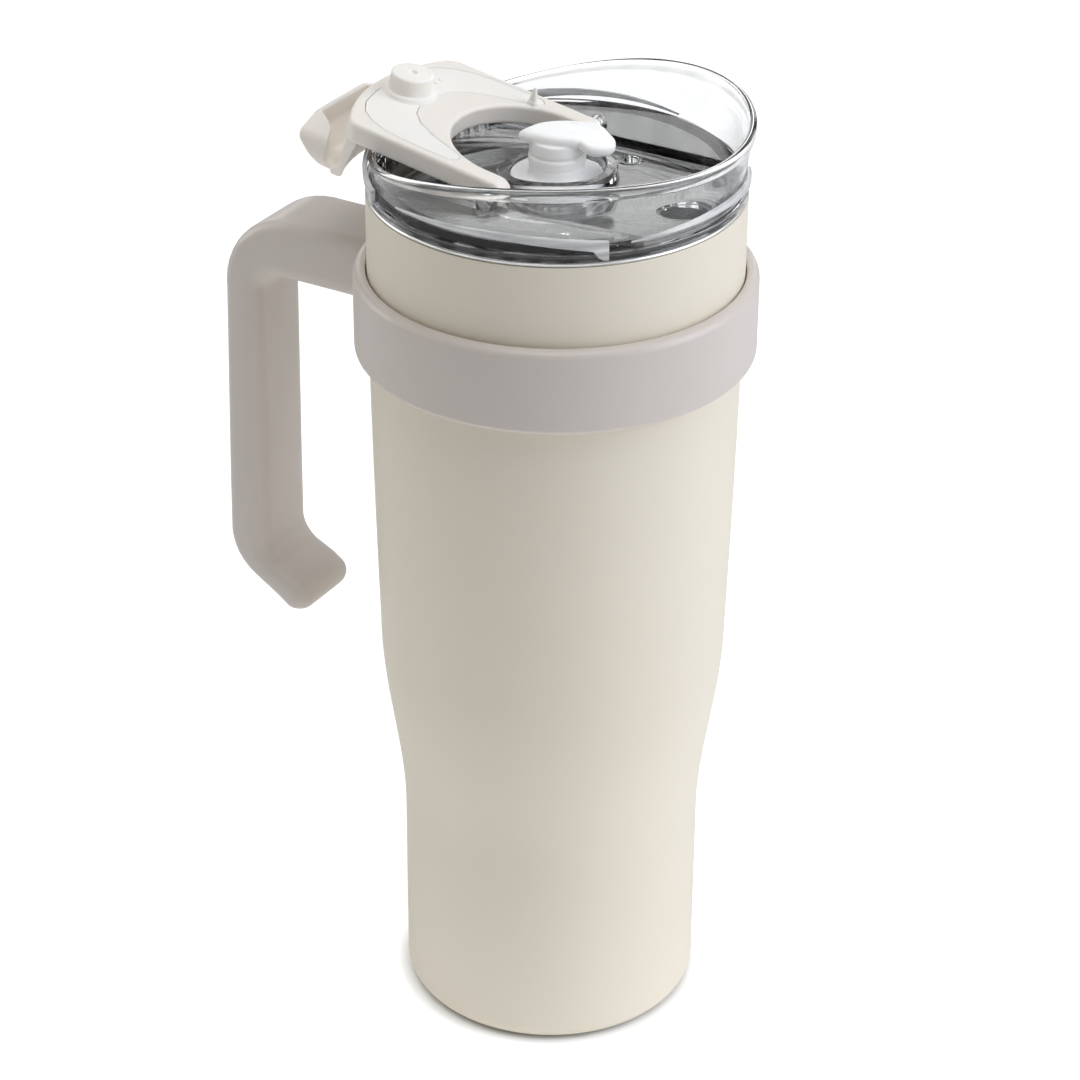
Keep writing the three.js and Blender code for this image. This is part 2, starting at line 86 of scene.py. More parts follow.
# Sizes of the details.
SHELL_WALL = 0.6
LINER_OFFSET = 3.0
LINER_FLOOR_Z = 12.0
LIP_HEIGHT = 0.85
MOUTH_RADIUS = 47.3
MOUTH_DEPTH = 9.0
TAPER_DEPTH = 14.5
FOOT_INNER_RADIUS = 35.0
SHOULDER_LOW_Z = 56.0
SHOULDER_HIGH_Z = 115.0
SHOULDER_INSET = 1.9
TOP_CLIMB = 106.0


# ---------------------------------------------------------------- shapes

def new_object(name, mesh):
    piece = bpy.data.objects.new(name, mesh)
    bpy.context.scene.collection.objects.link(piece)
    return piece


def loft(name, loops, ring=False):
    """A closed skin over loops of the same number of points. A ring joins its last loop to its first."""
    count = len(loops[0])
    faces = []
    for i in range(len(loops) if ring else len(loops) - 1):
        a, b = i * count, (i + 1) % len(loops) * count
        faces += [(a + k, a + (k + 1) % count, b + (k + 1) % count, b + k) for k in range(count)]
    if not ring:
        faces.append(tuple(reversed(range(count))))
        faces.append(tuple(range((len(loops) - 1) * count, len(loops) * count)))
    mesh = bpy.data.meshes.new(name)
    mesh.from_pydata(np.concatenate(loops).tolist(), [], faces)
    work = bmesh.new()
    work.from_mesh(mesh)
    bmesh.ops.remove_doubles(work, verts=work.verts, dist=1e-3)
    bmesh.ops.dissolve_degenerate(work, edges=work.edges, dist=1e-4)
    bmesh.ops.recalc_face_normals(work, faces=work.faces)
    work.to_mesh(mesh)
    work.free()
    return new_object(name, mesh)


def smoothstep(value, low, high):
    """0 up to low, 1 from high on, and a soft climb between them."""
    t = min(max((value - low) / (high - low), 0), 1)
    return t * t * (3 - 2 * t)


def rounded(corners, steps=6):
    """Points of a closed outline of corners [x, y] or [x, y, radius], each rounded with an arc."""
    points = []
    for i, corner in enumerate(corners):
        here = Vector(corner[:2])
        radius = corner[2] if len(corner) > 2 else 0
        back = (Vector(corners[i - 1][:2]) - here).normalized()
        on = (Vector(corners[(i + 1) % len(corners)][:2]) - here).normalized()
        half = back.angle(on) / 2
        if radius == 0 or half > NEARLY_STRAIGHT:
            points.append(here[:])
            continue
        centre = here + (back + on).normalized() * radius / math.sin(half)
        start = here + back * radius / math.tan(half) - centre
        turn = (math.pi - 2 * half) * (1 if back.cross(on) < 0 else -1)
        for k in range(steps + 1):
            points.append((centre + Matrix.Rotation(turn * k / steps, 2) @ start)[:])
    return np.array(points)


def arc(radius, start, end, steps, centre=(0, 0)):
    """Points [x, y] along an arc, with its angles in degrees."""
    turns = np.radians(np.linspace(start, end, steps + 1))
    return [[centre[0] + radius * math.cos(t), centre[1] + radius * math.sin(t)] for t in turns]


def turned(name, corners, steps=ROUND, fine=6):
    """A piece turned about Z from a closed profile of corners [radius, height], rounded as they say."""
    profile = rounded(corners, fine)
    loops = []
    for turn in np.linspace(0, 2 * math.pi, steps, endpoint=False):
        across = profile[:, 0]
        loops.append(np.column_stack([across * math.cos(turn), across * math.sin(turn), profile[:, 1]]))
    return loft(name, loops, ring=True)


def inset(outline, margin):
    """An outline moved inwards, or outwards where margin is negative. It runs anticlockwise."""
    before = outline - np.roll(outline, 1, axis=0)
    after = np.roll(outline, -1, axis=0) - outline
    before /= np.linalg.norm(before, axis=1)[:, None]
    after /= np.linalg.norm(after, axis=1)[:, None]
    middle = before + after
    middle /= np.linalg.norm(middle, axis=1)[:, None]
    inward = np.column_stack([-middle[:, 1], middle[:, 0]])
    stretch = 1 / np.clip((before * middle).sum(axis=1), 0.5, 1)
    return outline + inward * (margin * stretch)[:, None]


def anticlockwise(outline):
    x, y = outline[:, 0], outline[:, 1]
    area = (x * np.roll(y, -1) - y * np.roll(x, -1)).sum()
    return outline if area > 0 else outline[::-1]


def slab(name, outline, low, high, edge=0.0, steps=5):
    """A plate of an outline between two heights, with its edges rounded to a radius."""
    outline = anticlockwise(np.asarray(outline, float))
    turns = np.radians(np.linspace(0, 90, steps + 1)) if edge else np.array([math.pi / 2])
    margins = edge * (1 - np.sin(turns))
    lifts = edge * (1 - np.cos(turns))
    heights = [*(low + lifts), *(high - lifts[::-1])]
    loops = []
    for margin, z in zip([*margins, *margins[::-1]], heights):
        flat = inset(outline, margin)
        loops.append(np.column_stack([flat, np.full(len(flat), z)]))
    return loft(name, loops)


def brick(low, high):
    """A plain box between two corners."""
    outline = [[low[0], low[1]], [high[0], low[1]], [high[0], high[1]], [low[0], high[1]]]
    return slab("brick", outline, low[2], high[2])


def rod(name, radius, low, high, edge=0.0, steps=ROUND):
    """A round bar along Z between two heights."""
    return slab(name, arc(radius, 0, 360, steps)[:-1], low, high, edge, 3)


def drill(radius, low, high, x=0.0, y=0.0):
    """A bar to cut a hole with."""
    return moved(rod("drill", radius, low, high, steps=48), Matrix.Translation((x, y, 0)))


def apply_modifiers(piece):
    graph = bpy.context.evaluated_depsgraph_get()
    mesh = bpy.data.meshes.new_from_object(piece.evaluated_get(graph))
    piece.modifiers.clear()
    piece.data = mesh
    return piece


def combine(piece, operation, *others):
    """Joins others to the piece, or cuts or intersects it with them, and removes them."""
    for other in others:
        modifier = piece.modifiers.new("combine", "BOOLEAN")
        modifier.operation = operation
        modifier.solver = "MANIFOLD"
        modifier.object = other
        apply_modifiers(piece)
        bpy.data.objects.remove(other)
    return piece


def join(piece, *others):
    return combine(piece, "UNION", *others)


def cut(piece, *others):
    return combine(piece, "DIFFERENCE", *others)


def common(piece, *others):
    return combine(piece, "INTERSECT", *others)


def soften(piece, voxel, rounds):
    """Remeshes a piece evenly and smooths it, so that its edges and inner corners turn soft."""
    remesh = piece.modifiers.new("even", "REMESH")
    remesh.mode = "VOXEL"
    remesh.voxel_size = voxel
    smooth = piece.modifiers.new("smooth", "SMOOTH")
    smooth.factor = 0.5
    smooth.iterations = rounds
    return apply_modifiers(piece)


def moved(piece, matrix):
    piece.data.transform(matrix)
    return piece


def along_y(piece):
    """Turns a piece drawn about Z so that it lies about Y."""
    return moved(piece, Matrix.Rotation(-math.pi / 2, 4, "X"))


def flap_open():
    """The turn that takes the flap from how it is drawn, closed, to how it is stored, open."""
    here = Matrix.Translation((HINGE_X, 0, HINGE_HEIGHT))
    return here @ Matrix.Rotation(OPEN_TURN, 4, "Y") @ here.inverted()


def at_hinge(piece):
    """Moves a piece drawn about the origin so that it is about the flap's hinge."""
    return moved(piece, Matrix.Translation((HINGE_X, 0, HINGE_HEIGHT)))


def place(piece, body, nodes, material, lift=0.0):
    """Finishes a piece: scales it to metres, shades it, ties it to its body and hides the CAD nodes it
    stands for.
    """
    moved(piece, Matrix.Scale(MM, 4) @ Matrix.Translation((0, 0, lift)))
    piece.data.materials.clear()
    piece.data.materials.append(material)
    piece.data.shade_smooth()
    piece.data.set_sharp_from_angle(angle=SHARP_ANGLE)
    weighted = piece.modifiers.new("normals", "WEIGHTED_NORMAL")
    weighted.keep_sharp = True
    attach(piece, body)
    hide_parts(*nodes)


# ---------------------------------------------------------------- materials

class Surface:
    """A material built of nodes round one Principled shader, with textures in object space."""

    def __init__(self, name, **values):
        self.material = bpy.data.materials.new(name)
        self.material.use_nodes = True
        self.tree = self.material.node_tree
        self.shader = self.tree.nodes["Principled BSDF"]
        for socket, value in values.items():
            self.shader.inputs[socket.replace("_", " ")].default_value = value
        self.where = self.tree.nodes.new("ShaderNodeTexCoord").outputs["Object"]

    def link(self, start, end):
        self.tree.links.new(start, end)

    def noise(self, scale, detail, stretch=(1, 1, 1)):
        """A noise of scale features per metre, drawn out along an axis where stretch is small."""
        spread = self.tree.nodes.new("ShaderNodeMapping")
        spread.inputs["Scale"].default_value = stretch
        noise = self.tree.nodes.new("ShaderNodeTexNoise")
        noise.inputs["Scale"].default_value = scale
        noise.inputs["Detail"].default_value = detail
        self.link(self.where, spread.inputs["Vector"])
        self.link(spread.outputs["Vector"], noise.inputs["Vector"])
        return noise.outputs["Fac"]

    def span(self, source, low, high):
        """Maps a noise to a range of values."""
        ranger = self.tree.nodes.new("ShaderNodeMapRange")
        ranger.inputs["From Min"].default_value = 0.3
        ranger.inputs["From Max"].default_value = 0.7
        ranger.inputs["To Min"].default_value = low
        ranger.inputs["To Max"].default_value = high
        self.link(source, ranger.inputs["Value"])
        return ranger.outputs["Result"]

    def nearness(self, reach):
        """1 at the origin, falling evenly to 0 at a reach in metres."""
        spread = self.tree.nodes.new("ShaderNodeMapping")
        spread.inputs["Scale"].default_value = (1 / reach, 1 / reach, 1 / reach)
        near = self.tree.nodes.new("ShaderNodeTexGradient")
        near.gradient_type = "SPHERICAL"
        self.link(self.where, spread.inputs["Vector"])
        self.link(spread.outputs["Vector"], near.inputs["Vector"])
        return near.outputs["Fac"]

    def maths(self, operation, first, second):
        """One step of arithmetic on two values or sockets. It never gives less than 0 or more than 1."""
        step = self.tree.nodes.new("ShaderNodeMath")
        step.operation = operation
        step.use_clamp = True
        for socket, value in zip(step.inputs, (first, second)):
            if isinstance(value, float):
                socket.default_value = value
            else:
                self.link(value, socket)
        return step.outputs["Value"]

    def tint(self, source, dark, light):
        mix = self.tree.nodes.new("ShaderNodeMix")
        mix.data_type = "RGBA"
        mix.inputs["A"].default_value = (*dark, 1)
        mix.inputs["B"].default_value = (*light, 1)
        self.link(self.span(source, 0, 1), mix.inputs["Factor"])
        self.link(mix.outputs["Result"], self.shader.inputs["Base Color"])
        return self

    def rough(self, source, low, high):
        self.link(self.span(source, low, high), self.shader.inputs["Roughness"])
        return self

    def bump(self, source, height_mm):
        bump = self.tree.nodes.new("ShaderNodeBump")
        bump.inputs["Distance"].default_value = height_mm * MM
        self.link(source, bump.inputs["Height"])
        self.link(bump.outputs["Normal"], self.shader.inputs["Normal"])
        return self


def powder_coat():
    coat = Surface("powder_coat", Specular_IOR_Level=0.5, Coat_Weight=0.15, Coat_Roughness=0.35)
    coat.tint(coat.noise(14, 3), (0.795, 0.735, 0.615), (0.82, 0.76, 0.64))
    coat.rough(coat.noise(900, 3), 0.36, 0.5)
    return coat.bump(coat.noise(2600, 2), 0.012).material


def steel():
    metal = Surface("steel", Metallic=1.0, Anisotropic=0.45)
    lines = metal.noise(60, 4, (0.15, 0.15, 40))
    metal.tint(lines, (0.60, 0.60, 0.59), (0.76, 0.76, 0.75))
    metal.rough(lines, 0.2, 0.34)
    return metal.bump(metal.noise(90, 3, (0.15, 0.15, 40)), 0.004).material


def foil():
    sheet = Surface("foil", Metallic=1.0)
    wrinkles = sheet.noise(140, 5)
    sheet.tint(wrinkles, (0.62, 0.35, 0.2), (0.8, 0.5, 0.32))
    sheet.rough(wrinkles, 0.22, 0.4)
    return sheet.bump(wrinkles, 0.3).material


def seal_glass():
    glass = Surface("seal_glass", Specular_IOR_Level=0.6)
    glass.tint(glass.noise(600, 3), (0.3, 0.28, 0.22), (0.5, 0.47, 0.4))
    glass.rough(glass.noise(400, 2), 0.2, 0.4)
    return glass.bump(glass.noise(900, 2), 0.02).material


def handle_plastic():
    plastic = Surface("handle_plastic", Specular_IOR_Level=0.5, Coat_Weight=0.25, Coat_Roughness=0.18,
                      Subsurface_Weight=0.06, Subsurface_Radius=(1.0, 0.6, 0.4), Subsurface_Scale=0.002)
    plastic.tint(plastic.noise(18, 3), (0.62, 0.567, 0.525), (0.65, 0.597, 0.555))
    plastic.rough(plastic.noise(1200, 3), 0.34, 0.46)
    return plastic.bump(plastic.noise(3200, 2), 0.008).material


def clear_plastic():
    clear = Surface("clear_plastic", Transmission_Weight=1.0, IOR=1.5)
    clear.tint(clear.noise(20, 2), (0.925, 0.935, 0.94), (0.965, 0.97, 0.97))
    clear.rough(clear.noise(60, 2), 0.0, 0.01)
    return clear.bump(clear.noise(60, 1), 0.015).material


def milky_plastic():
    """The clear plastic where it is thick and ribbed, which scatters light and looks whitish. Its colour is
    streaked grey to white along its height, as painted highlight streaks.
    """
    milky = Surface("milky_plastic", Transmission_Weight=0.35, IOR=1.5)
    # Painted highlight streaks: thin level bands of grey and white in the colour.
    milky.tint(milky.noise(50, 3, (1, 1, 14)), (0.55, 0.56, 0.57), (1.0, 1.0, 1.0))
    milky.rough(milky.noise(90, 2), 0.02, 0.14)
    return milky.bump(milky.noise(160, 2, (1, 1, 3)), 0.06).material


def black_rubber():
    rubber = Surface("black_rubber", Specular_IOR_Level=0.12)
    rubber.tint(rubber.noise(300, 3), (0.006, 0.006, 0.007), (0.013, 0.013, 0.014))
    rubber.rough(rubber.noise(700, 3), 0.5, 0.65)
    return rubber.bump(rubber.noise(2200, 2), 0.01).material


def flap_plastic():
    plastic = Surface("flap_plastic", Specular_IOR_Level=0.5, Subsurface_Weight=0.2,
                      Subsurface_Radius=(1.0, 0.62, 0.42), Subsurface_Scale=0.003)
    plastic.tint(plastic.noise(25, 3), (0.845, 0.80, 0.745), (0.865, 0.82, 0.765))
    plastic.rough(plastic.noise(1100, 3), 0.34, 0.46)
    return plastic.bump(plastic.noise(3000, 2), 0.006).material


def seal_rubber():
    rubber = Surface("seal_rubber", Specular_IOR_Level=0.4, Subsurface_Weight=0.25,
                     Subsurface_Radius=(1.0, 0.7, 0.5), Subsurface_Scale=0.003)
    rubber.tint(rubber.noise(30, 3), (0.89, 0.86, 0.81), (0.91, 0.88, 0.83))
    rubber.rough(rubber.noise(1500, 3), 0.42, 0.56)
    return rubber.bump(rubber.noise(3500, 2), 0.008).material


def white_rubber():
    rubber = Surface("white_rubber", Specular_IOR_Level=0.4, Subsurface_Weight=0.5,
                     Subsurface_Radius=(1.0, 0.95, 0.9), Subsurface_Scale=0.004)
    rubber.tint(rubber.noise(30, 2), (0.95, 0.95, 0.945), (0.965, 0.965, 0.96))
    rubber.rough(rubber.noise(1500, 3), 0.38, 0.5)
    return rubber.bump(rubber.noise(3500, 2), 0.006).material


def floor_white():
    """A white sweep that gives off light, and less close round the cup's foot, as a contact shadow.

    It lights the cup, and mirrors in it, less than it shows, and lights it least from far away.
    """
    full = 0.66
    floor = Surface("floor_white", Roughness=1.0, Specular_IOR_Level=0.0)
    floor.tint(floor.noise(3, 2), (0.8, 0.8, 0.8), (0.81, 0.81, 0.81))
    floor.shader.inputs["Emission Color"].default_value = (1, 1, 1, 1)
    path = floor.tree.nodes.new("ShaderNodeLightPath")
    mirrored = floor.maths("SUBTRACT", path.outputs["Is Glossy Ray"], path.outputs["Is Transmission Ray"])
    under_foot = floor.maths("MULTIPLY", floor.nearness(0.0445), 8.0)
    contact_loss = floor.maths("MULTIPLY", under_foot, full)
    away = floor.maths("SUBTRACT", 1.0, floor.nearness(0.45))
    far_loss = floor.maths("MULTIPLY", away, 0.42)
    lighting_loss = floor.maths("MULTIPLY", path.outputs["Is Diffuse Ray"], far_loss)
    mirror_loss = floor.maths("MULTIPLY", mirrored, 0.64)
    glow = full
    for loss in (contact_loss, lighting_loss, mirror_loss):
        glow = floor.maths("SUBTRACT", glow, loss)
    floor.link(glow, floor.shader.inputs["Emission Strength"])
    return floor.material


STEEL = steel()
CLEAR = clear_plastic()
MILKY = milky_plastic()
COAT = powder_coat()
HANDLE = handle_plastic()
FLAP = flap_plastic()
SEAL = seal_rubber()
BLACK = black_rubber()
WHITE = white_rubber()


# ---------------------------------------------------------------- cup

def cup_radius(z):
    """The cup's outside radius: a narrow base, a soft shoulder and a nearly straight top."""
    shoulder = RIM_RADIUS - SHOULDER_INSET
    if z <= SHOULDER_HIGH_Z:
        return BASE_RADIUS + (shoulder - BASE_RADIUS) * smoothstep(z, SHOULDER_LOW_Z, SHOULDER_HIGH_Z)
    climb = min((z - SHOULDER_HIGH_Z) / TOP_CLIMB, 1)
    return shoulder + (RIM_RADIUS - shoulder) * (1 - (1 - climb) ** 1.6)


def wall(offset, low, high):
    """The cup's wall as profile corners, set in from its outside."""
    return [[cup_radius(z) - offset, z] for z in np.arange(low, high, 3.0)]


def build_shell():
    top = RIM_Z - LIP_HEIGHT - 0.12
    foot = 4.5
    shell = turned("cup_shell", [
        [FOOT_INNER_RADIUS, 0.25, 0.2], [FOOT_INNER_RADIUS + 0.6, 0, 0.3], [BASE_RADIUS, 0, foot],
        *wall(0, 12, 240), [RIM_RADIUS, top, 0.35], [RIM_RADIUS - SHELL_WALL, top],
        *wall(SHELL_WALL, 12, 240)[::-1],
        [BASE_RADIUS - SHELL_WALL, SHELL_WALL, foot - SHELL_WALL], [FOOT_INNER_RADIUS, SHELL_WALL],
    ], fine=8)
    place(shell, "cup", ["outer_shell"], COAT)


def build_liner():
    outer, inner = LINER_OFFSET, LINER_OFFSET + SHELL_WALL
    mouth = MOUTH_RADIUS + SHELL_WALL
    corner = 6.0
    liner = turned("cup_liner", [
        [0, LINER_FLOOR_Z - SHELL_WALL],
        [BASE_RADIUS - outer, LINER_FLOOR_Z - SHELL_WALL, corner + SHELL_WALL],
        *wall(outer, 22, 225),
        [RIM_RADIUS - outer, RIM_Z - TAPER_DEPTH], [mouth, RIM_Z - MOUTH_DEPTH], [mouth, RIM_Z - LIP_HEIGHT],
        [RIM_RADIUS - 0.05, RIM_Z - LIP_HEIGHT, 0.35], [RIM_RADIUS - 0.05, RIM_Z, 0.65],
        [MOUTH_RADIUS, RIM_Z, 0.65], [MOUTH_RADIUS, RIM_Z - MOUTH_DEPTH, 2],
        [RIM_RADIUS - inner, RIM_Z - TAPER_DEPTH, 2],
        *wall(inner, 22, 225)[::-1],
        [BASE_RADIUS - inner, LINER_FLOOR_Z, corner], [0, LINER_FLOOR_Z],
    ], fine=5)
    place(liner, "cup", ["inner_liner"], STEEL)


def build_base():
    edge = FOOT_INNER_RADIUS - 0.35
    plate = turned("cup_base_plate", [
        [0, 0.9], [9, 0.9, 2], [9.8, 0.35, 2], [26, 0.35, 2], [27, 0, 2],
        [edge, 0, 1.2], [edge, 2.2], [edge - SHELL_WALL, 2.2],
        [edge - SHELL_WALL, SHELL_WALL, 0.6], [27, SHELL_WALL], [26, 0.95], [9.8, 0.95], [9, 1.5], [0, 1.5],
    ])
    place(plate, "cup", ["base_plate"], STEEL)


# ---------------------------------------------------------------- handle

ARM_HIGH_Z = RING_HIGH_Z - 2.0
ARM_LOW_Z = RING_HIGH_Z - 20.2
GRIP_OUT = GRIP_LOW.x
GRIP_HALF_WIDTH = 12.0
TIP_ROUNDING = 4.6
GRIP_BEND_Z = 119.0


def grip_stations():
    """Points on the grip's inner and outer lines, in the XZ plane, from the ring to the tip."""
    stations = [((x, ARM_LOW_Z), (x, ARM_HIGH_Z)) for x in (-46.5, -60, -70)]
    outer = arc(23, 90, 184, 12, (GRIP_OUT + 25.3, ARM_HIGH_Z - 23))
    inner = arc(6.5, 90, 184, 12, (GRIP_OUT + 19.8, ARM_LOW_Z - 6.5))
    stations += list(zip(inner, outer))
    straight_in = np.linspace(inner[-1], (GRIP_OUT + 12.7, GRIP_BEND_Z), 6)
    straight_out = np.linspace(outer[-1], (GRIP_OUT + 0.25, GRIP_BEND_Z + 3), 6)
    stations += list(zip(straight_in[1:-1], straight_out[1:-1]))
    inner = arc(9, 182, 235, 6, (GRIP_OUT + 21.7, GRIP_BEND_Z - 1.5))
    outer = arc(16, 182, 236, 6, (GRIP_OUT + 16.3, GRIP_BEND_Z + 0.5))
    stations += list(zip(inner, outer))
    stations.append(((-78.6, 107.6), (-85.4, 101.2)))
    stations.append(((-72.2, 103.2), (-77.8, 95.8)))
    return stations


def rounded_section(half_depth, half_width):
    """A rectangle with round corners, as points [across, sideways]. Its inner corners are rounder."""
    d, w = half_depth, half_width
    crisp = min(3.4, d * 0.9, w * 0.9)
    soft = min(5.6, d * 0.9, w * 0.9)
    return rounded([[d, -w, crisp], [d, w, crisp], [-d, w, soft], [-d, -w, soft]])


def build_handle():
    bore = RIM_RADIUS + 0.3
    ring = turned("handle_ring", [
        [bore, RING_HIGH_Z - 22.8, 0.4], [RING_RADIUS, RING_HIGH_Z - 22.8, 1.6],
        [RING_RADIUS, RING_HIGH_Z, 2.4], [bore, RING_HIGH_Z, 0.7],
    ])
    loops = []
    stations = [(Vector(a), Vector(b)) for a, b in grip_stations()]
    for inner, outer in stations[:-1]:
        loops.append(section_loop(inner, outer, 0))
    inner, outer = stations[-1]
    ahead = ((inner + outer) - (stations[-2][0] + stations[-2][1])).normalized()
    for turn in np.radians(np.linspace(0, 84, 8)):
        shift = ahead * TIP_ROUNDING * (math.sin(turn) - 1)
        loops.append(section_loop(inner + shift, outer + shift, TIP_ROUNDING * (1 - math.cos(turn))))
    grip = loft("handle_grip", loops)
    cut(grip, rod("core", bore + 1.2, RING_HIGH_Z - 40, RING_HIGH_Z + 20, steps=96))
    handle = join(ring, grip)
    place(handle, "cup", ["handle"], HANDLE)


def section_loop(inner, outer, margin):
    """A rounded section across the grip, from its inner to its outer line, shrunk by a margin."""
    middle = (inner + outer) / 2
    across = outer - inner
    half_depth = across.length / 2
    across.normalize()
    flat = rounded_section(half_depth - margin, GRIP_HALF_WIDTH - margin)
    return np.array([[middle.x + across.x * d, w, middle.y + across.y * d] for d, w in flat])


# ---------------------------------------------------------------- lid

LID_WALL_RADIUS = 48.4
LID_WALL_INNER = 46.9
DECK_TOP = 1.8
DECK_BOTTOM = -0.2
SKIRT_INNER = 42.7
SKIRT_OUTER = 43.6
SKIRT_BOTTOM = -8.4
GROOVE_ROOF = 1.5
WAVE_START = 2.6
WAVE_MEAN_HEIGHT = 15.1
WAVE_MEAN_RADIUS = 49.6
WAVE_HEIGHTS = (6.27, -2.62, -0.48)
WAVE_RADII = (1.57, -0.65)
# Each rib's start, in degrees round the cup, and the height of its ends.
LID_RIBS = ((-115, 5.6), (-38, 4.6), (78, 5.0), (160, 5.0))
RIB_SPAN = 70.0
RIB_RISE = 1.8
LUG_WIDTH = 3.6
CHANNEL_HALF_WIDTH = 25.9
SHELF_TOP = 4.5
SPOUT_X = 36.4
SPOUT_HOLE = 6.1
VENT = (10.5, 19.5)
VENT_HOLE = 1.9
VENT_RING_INNER = 2.3
VENT_RING_OUTER = 3.4
VENT_RING_TOP = DECK_TOP + 0.28
COLLAR_OUTER = 15.6
COLLAR_INNER = 12.3
COLLAR_TOP = 5.0
PIN_RADIUS = 1.25
LUG_RADIUS = 2.5
PIN_HOLE = 1.6


def swings(mean, sizes, turn):
    """A wave round the cup: its mean and what each number of swings adds to it."""
    return mean + sum(size * np.cos((i + 1) * turn) for i, size in enumerate(sizes))


def waved(piece):
    """Stretches what was drawn with a level edge until its edge follows the lid's wave."""
    count = len(piece.data.vertices)
    points = np.zeros(count * 3)
    piece.data.vertices.foreach_get("co", points)
    points = points.reshape(-1, 3)
    turn = np.arctan2(points[:, 1], points[:, 0])
    radius = np.hypot(points[:, 0], points[:, 1])
    top = swings(WAVE_MEAN_HEIGHT, WAVE_HEIGHTS, turn)
    reach = swings(WAVE_MEAN_RADIUS, WAVE_RADII, turn)
    climb = np.clip((points[:, 2] - WAVE_START) / (WAVE_MEAN_HEIGHT - WAVE_START), 0, None)
    blend = np.clip(climb, 0, 1)
    flare = (reach - WAVE_MEAN_RADIUS) * blend * blend * (3 - 2 * blend)
    grown = np.where(radius > 1, (radius + flare) / np.maximum(radius, 1), 1)
    high = climb > 0
    points[:, 2] = np.where(high, WAVE_START + climb * (top - WAVE_START), points[:, 2])
    points[:, 0] *= np.where(high, grown, 1)
    points[:, 1] *= np.where(high, grown, 1)
    piece.data.vertices.foreach_set("co", points.ravel())
    piece.data.update()
    return piece


def lid_rib(start, foot):
    """One of the humped ribs round the foot of the lid's wall, thin at its start and deep at its end."""
    inner = LID_WALL_RADIUS + 0.03
    loops = []
    for share in np.linspace(0, 1, 48):
        turn = math.radians(start + RIB_SPAN * share)
        outer = LID_WALL_RADIUS + 0.35 + 0.75 * smoothstep(share, 0, 0.3)
        high = foot + RIB_RISE * math.sin(math.pi * share)
        low = max(high - 0.5 - 2.4 * share - 2.2 * smoothstep(share, 0.93, 0.97), 0.5)
        edge = min(0.45, (outer - inner) * 0.9, (high - low) * 0.45)
        section = rounded([[inner, low], [outer, low, edge], [outer, high, edge], [inner, high]], 4)
        loops.append(np.column_stack([
            section[:, 0] * math.cos(turn), section[:, 0] * math.sin(turn), section[:, 1]]))
    return loft("lid_rib", loops)


def build_lid_ribs():
    for start, foot in LID_RIBS:
        place(lid_rib(start, foot), "lid", ["lid_body"], MILKY, RIM_Z)


def foot_rib(turn):
    """One of the short upright ribs at the foot of the lid's wall, inside, under the open flap."""
    rib = brick((44.8, -0.5, 1.0), (47.4, 0.5, 6.0))
    return moved(rib, Matrix.Rotation(math.radians(turn), 4, "Z"))


def build_lid():
    lid = waved(turned("lid_clear_body", [
        [SKIRT_INNER, SKIRT_BOTTOM], [45.4, SKIRT_BOTTOM, 0.3], [45.4, SKIRT_BOTTOM + 1.2, 0.3],
        [SKIRT_OUTER, SKIRT_BOTTOM + 1.2], [SKIRT_OUTER, GROOVE_ROOF], [47.1, GROOVE_ROOF],
        [47.1, 0.15], [RIM_RADIUS, 0.15, 0.3], [RIM_RADIUS, 2.1, 0.5],
        [LID_WALL_RADIUS, WAVE_START, 0.5], [LID_WALL_RADIUS - 0.1, 5], [LID_WALL_RADIUS - 0.2, 8],
        [LID_WALL_RADIUS + 0.1, 10.5], [WAVE_MEAN_RADIUS - 0.35, 13],
        [WAVE_MEAN_RADIUS + 0.05, WAVE_MEAN_HEIGHT, 1.15], [WAVE_MEAN_RADIUS - 2.5, WAVE_MEAN_HEIGHT, 1.15],
        [WAVE_MEAN_RADIUS - 2.1, 12.6, 1], [LID_WALL_INNER, 10], [LID_WALL_INNER, 7], [LID_WALL_INNER, 4],
        [LID_WALL_INNER, DECK_TOP, 0.5],
        [COLLAR_OUTER, DECK_TOP, 0.4], [COLLAR_OUTER, COLLAR_TOP, 0.8],
        [COLLAR_INNER, COLLAR_TOP, 0.6], [COLLAR_INNER, DECK_TOP, 0.3],
        [5.6, DECK_TOP, 0.3], [5.6, DECK_BOTTOM, 0.3], [SKIRT_INNER, DECK_BOTTOM, 0.4],
    ], fine=5))
    add_shelves(lid)
    add_lugs(lid)
    for turn in np.linspace(140, 172, 9):
        join(lid, foot_rib(turn), foot_rib(-turn))
    join(lid, vent_ring())
    cut(lid,
        drill(SPOUT_HOLE, -2, 3, SPOUT_X), drill(SPOUT_HOLE + 0.9, 0.9, 3, SPOUT_X),
        drill(VENT_HOLE, -2, 3, *VENT))
    place(lid, "lid", ["lid_body"], CLEAR, RIM_Z)


def add_shelves(lid):
    """Two thick shelves, one on each side of the flap's channel, hollowed out from below."""
    shelves = rod("shelves", LID_WALL_INNER + 0.3, DECK_TOP - 0.5, SHELF_TOP)
    cut(shelves, brick((-60, -CHANNEL_HALF_WIDTH, 0), (60, CHANNEL_HALF_WIDTH, 10)))
    under = rod("under", SKIRT_INNER, -1, SHELF_TOP - 2)
    cut(under, brick((-60, -CHANNEL_HALF_WIDTH - 2, -2), (60, CHANNEL_HALF_WIDTH + 2, 10)))
    join(lid, shelves)
    cut(lid, under)


def add_lugs(lid):
    """A bored lug on each shelf, for the flap's pins."""
    for side in (-1, 1):
        low, high = sorted((side * CHANNEL_HALF_WIDTH, side * (CHANNEL_HALF_WIDTH + LUG_WIDTH)))
        lug = at_hinge(along_y(rod("lug", LUG_RADIUS, low, high, 0.5, 40)))
        post = brick((HINGE_X - LUG_RADIUS, low, SHELF_TOP - 1), (HINGE_X + LUG_RADIUS, high, HINGE_HEIGHT))
        bore = at_hinge(along_y(drill(PIN_HOLE, low - 1, high + 1)))
        join(lid, lug, post)
        cut(lid, bore)


